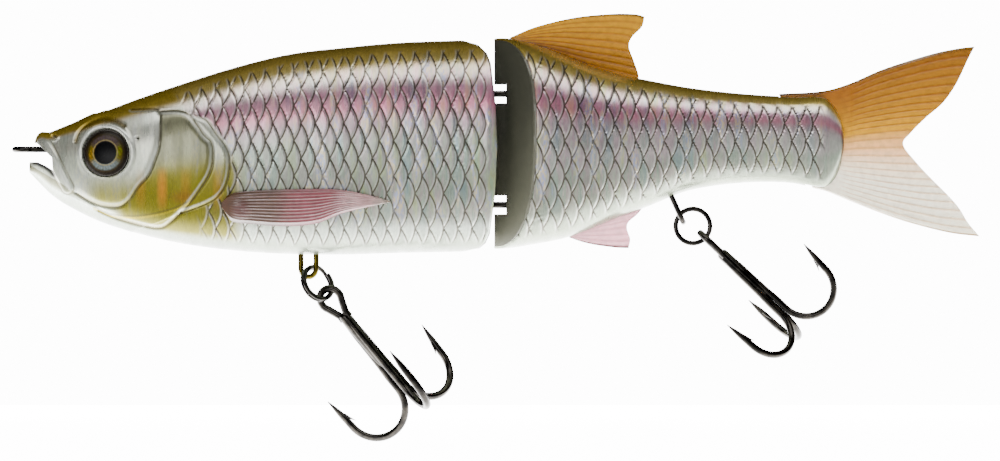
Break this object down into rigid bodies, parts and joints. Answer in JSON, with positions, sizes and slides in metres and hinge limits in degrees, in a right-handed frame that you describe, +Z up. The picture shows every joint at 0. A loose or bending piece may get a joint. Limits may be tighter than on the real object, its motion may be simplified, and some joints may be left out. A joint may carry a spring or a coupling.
{
  "type": "jointed swimbait",
  "caption": "Jointed fish-shaped lure: the rear section swings on a vertical hinge pin, with a soft forked tail and treble hooks hung on split rings.",
  "frame": {"origin": "centre of the line tie's hole at the nose", "axes": "+X runs from the nose to the tail, +Z is up toward the back, and the fish's left side faces -Y"},
  "size_m": [0.1816, 0.0263, 0.0802],
  "materials": {
    "painted_shell": "painted and clear coated, olive back, silver scaled sides, pale belly",
    "dark_wire": "dark bronze-tinted wire",
    "black_nickel": "black nickel plate",
    "pin_steel": "plain ground steel",
    "ballast_metal": "bare metal",
    "eye_foil": "metallic printed foil",
    "eye_resin": "clear resin dome",
    "amber_fin": "translucent amber with dark rays",
    "pink_fin": "translucent pale pink with rays",
    "mauve_fin": "translucent mauve fading to a clear tip",
    "soft_tail": "soft translucent plastic, amber above and cream below"
  },
  "bodies": {
    "front_section": {"front_shell_left": "painted_shell", "front_shell_right": "painted_shell", "line_tie": "dark_wire", "left_eye_iris": "eye_foil", "left_eye_lens": "eye_resin", "right_eye_iris": "eye_foil", "right_eye_lens": "eye_resin", "left_pectoral_fin": "mauve_fin", "right_pectoral_fin": "mauve_fin", "front_hook_hanger": "dark_wire", "upper_hinge_eye": "dark_wire", "lower_hinge_eye": "dark_wire", "front_ballast_fore": "ballast_metal", "front_ballast_aft": "ballast_metal"},
    "rear_section": {"rear_shell_left": "painted_shell", "rear_shell_right": "painted_shell", "hinge_pin": "pin_steel", "dorsal_fin": "amber_fin", "anal_fin": "pink_fin", "rear_hook_hanger": "dark_wire", "rear_ballast": "ballast_metal", "tail_lock_pin": "pin_steel", "tail_root": "soft_tail"},
    "tail": {"tail_blade": "soft_tail"},
    "front_ring": {"front_split_ring": "black_nickel"},
    "front_hook": {"front_treble_hook": "black_nickel"},
    "rear_ring": {"rear_split_ring": "black_nickel"},
    "rear_hook": {"rear_treble_hook": "black_nickel"}
  },
  "joints": [
    {"name": "body_hinge", "type": "hinge", "parent": "front_section", "child": "rear_section", "pos_m": [0.0921, 0, 0], "axis": [0, 0, 1], "range_deg": [-25, 25]},
    {"name": "tail_flex", "type": "hinge", "parent": "rear_section", "child": "tail", "pos_m": [0.155, 0, 0], "axis": [0, 0, 1], "range_deg": [-30, 30], "stiffness_Nm_per_rad": 0.002},
    {"name": "front_ring_swing", "type": "hinge", "parent": "front_section", "child": "front_ring", "pos_m": [0.0534, 0, -0.0239], "axis": [0.848, -0.5299, 0], "range_deg": [-35, 35]},
    {"name": "front_hook_swing", "type": "hinge", "parent": "front_ring", "child": "front_hook", "pos_m": [0.05685, -0.0003, -0.0278], "axis": [0.5931, 0.7071, 0.3851], "range_deg": [-20, 60]},
    {"name": "rear_ring_swing", "type": "hinge", "parent": "rear_section", "child": "rear_ring", "pos_m": [0.12365, 0, -0.01365], "axis": [0, 1, 0], "range_deg": [-25, 60]},
    {"name": "rear_hook_swing", "type": "hinge", "parent": "rear_ring", "child": "rear_hook", "pos_m": [0.1278, 0, -0.01659], "axis": [0.6884, 0, 0.7254], "range_deg": [-50, 50]}
  ]
}
